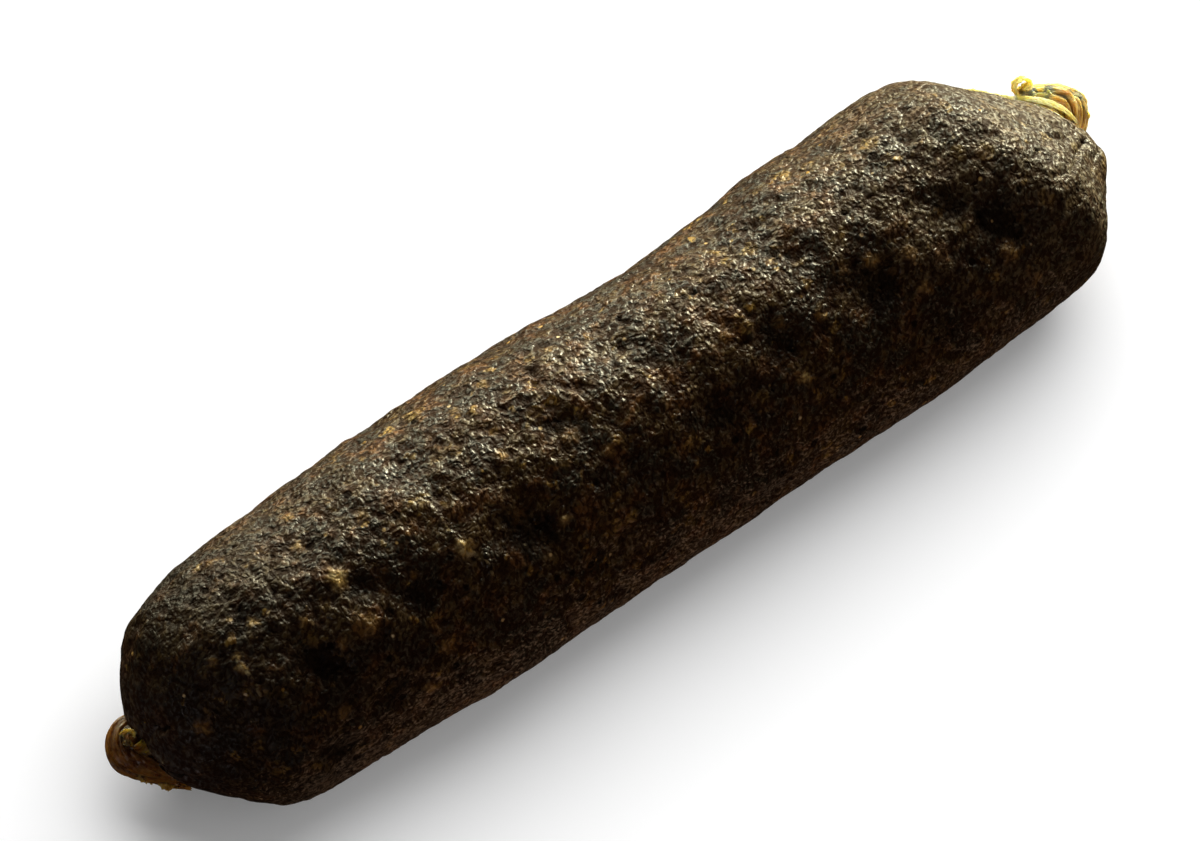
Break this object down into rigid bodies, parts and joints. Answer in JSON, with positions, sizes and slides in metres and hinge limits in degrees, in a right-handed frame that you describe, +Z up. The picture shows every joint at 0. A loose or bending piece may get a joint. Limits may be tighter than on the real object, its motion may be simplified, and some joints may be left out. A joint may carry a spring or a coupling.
{
  "type": "cured lamb sausage",
  "caption": "Whole cured sausage in a dark wrinkled natural casing, lying on its side, with a gathered and folded casing end at each tip.",
  "frame": {"origin": "centre of the footprint box at the height of the surface that the sausage lies on", "axes": "+X along the sausage to the thicker end, whose casing end is folded up; +Y to the side that this end leans to; +Z up"},
  "size_m": [0.1804, 0.043, 0.0415],
  "materials": {
    "casing": "semi-gloss dried casing, wrinkled"
  },
  "bodies": {
    "root": {"sausage": "casing"}
  },
  "joints": []
}
